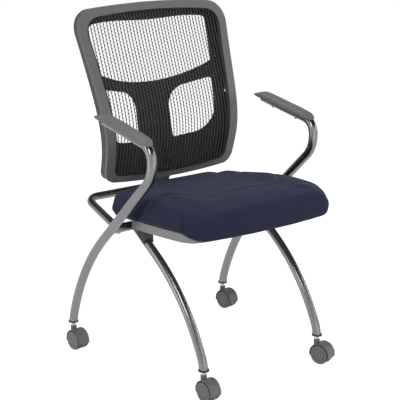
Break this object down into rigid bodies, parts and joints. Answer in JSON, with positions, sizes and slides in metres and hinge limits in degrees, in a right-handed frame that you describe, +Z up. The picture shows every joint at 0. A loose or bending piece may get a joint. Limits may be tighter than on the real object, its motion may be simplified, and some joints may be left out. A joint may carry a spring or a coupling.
{
  "type": "nesting chair",
  "caption": "Nesting office chair on casters: curved tube frame with arm loops, mesh back in a dished shell, and a padded seat that flips up.",
  "frame": {"origin": "on the floor, at the centre of the chair's box in plan", "axes": "+Z up, +Y to the chair's back, +X to its left side seen by a sitter"},
  "size_m": [0.5955, 0.5735, 0.968],
  "materials": {
    "tube_metal": "dark gunmetal, semi-gloss",
    "plug_plastic": "black, moulded",
    "caster_plastic": "dark grey, satin",
    "wheel_tread": "dark grey faces with a black tread",
    "zinc_steel": "zinc plated",
    "bracket_metal": "black, semi-gloss",
    "bush_nylon": "black nylon",
    "seat_fabric": "dark navy woven cloth",
    "plywood": "raw birch ply",
    "pan_plastic": "mid grey, fine texture",
    "rest_plastic": "black, moulded",
    "rest_rubber": "black",
    "bezel_plastic": "dark grey, fine texture",
    "back_mesh": "black open mesh",
    "shell_plastic": "dark grey, fine texture",
    "pad_skin": "mid grey soft-touch",
    "base_plastic": "dark grey, fine texture"
  },
  "bodies": {
    "frame": {"cross_tube": "tube_metal", "arm_tube_right": "tube_metal", "arm_tube_left": "tube_metal", "front_leg_right": "tube_metal", "front_leg_left": "tube_metal", "back_hoop": "tube_metal", "leg_plug_front_right": "plug_plastic", "leg_plug_front_left": "plug_plastic", "leg_plug_rear_right": "plug_plastic", "leg_plug_rear_left": "plug_plastic", "back_frame": "bezel_plastic", "back_mesh": "back_mesh", "back_shell": "shell_plastic", "shell_screws": "zinc_steel", "back_bracket": "bracket_metal", "back_bolts": "zinc_steel", "arm_pad_right": "pad_skin", "tube_cap_right": "base_plastic", "arm_pad_left": "pad_skin", "tube_cap_left": "base_plastic", "pad_screws": "zinc_steel"},
    "seat": {"seat_cushion": "seat_fabric", "seat_board": "plywood", "seat_pan": "pan_plastic", "bracket_screws": "zinc_steel", "pan_screws": "zinc_steel", "pivot_bracket_right": "bracket_metal", "pivot_bush_right": "bush_nylon", "seat_rest_right": "rest_plastic", "rest_pad_right": "rest_rubber", "pivot_bracket_left": "bracket_metal", "pivot_bush_left": "bush_nylon", "seat_rest_left": "rest_plastic", "rest_pad_left": "rest_rubber"},
    "caster_front_right": {"caster_hood_front_right": "caster_plastic", "caster_stem_front_right": "zinc_steel", "caster_axle_front_right": "zinc_steel"},
    "wheel_right_front_right": {"wheel_right_front_right": "wheel_tread"},
    "wheel_left_front_right": {"wheel_left_front_right": "wheel_tread"},
    "caster_front_left": {"caster_hood_front_left": "caster_plastic", "caster_stem_front_left": "zinc_steel", "caster_axle_front_left": "zinc_steel"},
    "wheel_right_front_left": {"wheel_right_front_left": "wheel_tread"},
    "wheel_left_front_left": {"wheel_left_front_left": "wheel_tread"},
    "caster_rear_right": {"caster_hood_rear_right": "caster_plastic", "caster_stem_rear_right": "zinc_steel", "caster_axle_rear_right": "zinc_steel"},
    "wheel_right_rear_right": {"wheel_right_rear_right": "wheel_tread"},
    "wheel_left_rear_right": {"wheel_left_rear_right": "wheel_tread"},
    "caster_rear_left": {"caster_hood_rear_left": "caster_plastic", "caster_stem_rear_left": "zinc_steel", "caster_axle_rear_left": "zinc_steel"},
    "wheel_right_rear_left": {"wheel_right_rear_left": "wheel_tread"},
    "wheel_left_rear_left": {"wheel_left_rear_left": "wheel_tread"}
  },
  "joints": [
    {"name": "seat_flip", "type": "hinge", "parent": "frame", "child": "seat", "pos_m": [0, 0.065, 0.398], "axis": [-1, 0, 0], "range_deg": [0, 70]},
    {"name": "swivel_front_right", "type": "hinge", "parent": "frame", "child": "caster_front_right", "pos_m": [-0.2, -0.235, 0.07], "axis": [0, 0, 1], "continuous": true},
    {"name": "roll_right_front_right", "type": "hinge", "parent": "caster_front_right", "child": "wheel_right_front_right", "pos_m": [-0.21096, -0.25339, 0.0275], "axis": [0.9994, 0.0349, 0], "continuous": true},
    {"name": "roll_left_front_right", "type": "hinge", "parent": "caster_front_right", "child": "wheel_left_front_right", "pos_m": [-0.18778, -0.25258, 0.0275], "axis": [0.9994, 0.0349, 0], "continuous": true},
    {"name": "swivel_front_left", "type": "hinge", "parent": "frame", "child": "caster_front_left", "pos_m": [0.2, -0.235, 0.07], "axis": [0, 0, 1], "continuous": true},
    {"name": "roll_right_front_left", "type": "hinge", "parent": "caster_front_left", "child": "wheel_right_front_left", "pos_m": [0.19345, -0.25539, 0.0275], "axis": [0.9659, 0.2588, 0], "continuous": true},
    {"name": "roll_left_front_left", "type": "hinge", "parent": "caster_front_left", "child": "wheel_left_front_left", "pos_m": [0.21586, -0.24938, 0.0275], "axis": [0.9659, 0.2588, 0], "continuous": true},
    {"name": "swivel_rear_right", "type": "hinge", "parent": "frame", "child": "caster_rear_right", "pos_m": [-0.275, 0.271, 0.07], "axis": [0, 0, 1], "continuous": true},
    {"name": "roll_right_rear_right", "type": "hinge", "parent": "caster_rear_right", "child": "wheel_right_rear_right", "pos_m": [-0.28499, 0.25206, 0.0275], "axis": [0.9962, 0.0872, 0], "continuous": true},
    {"name": "roll_left_rear_right", "type": "hinge", "parent": "caster_rear_right", "child": "wheel_left_rear_right", "pos_m": [-0.26188, 0.25408, 0.0275], "axis": [0.9962, 0.0872, 0], "continuous": true},
    {"name": "swivel_rear_left", "type": "hinge", "parent": "frame", "child": "caster_rear_left", "pos_m": [0.275, 0.271, 0.07], "axis": [0, 0, 1], "continuous": true},
    {"name": "roll_right_rear_left", "type": "hinge", "parent": "caster_rear_left", "child": "wheel_right_rear_left", "pos_m": [0.26602, 0.25156, 0.0275], "axis": [0.9903, 0.1392, 0], "continuous": true},
    {"name": "roll_left_rear_left", "type": "hinge", "parent": "caster_rear_left", "child": "wheel_left_rear_left", "pos_m": [0.28899, 0.25479, 0.0275], "axis": [0.9903, 0.1392, 0], "continuous": true}
  ]
}
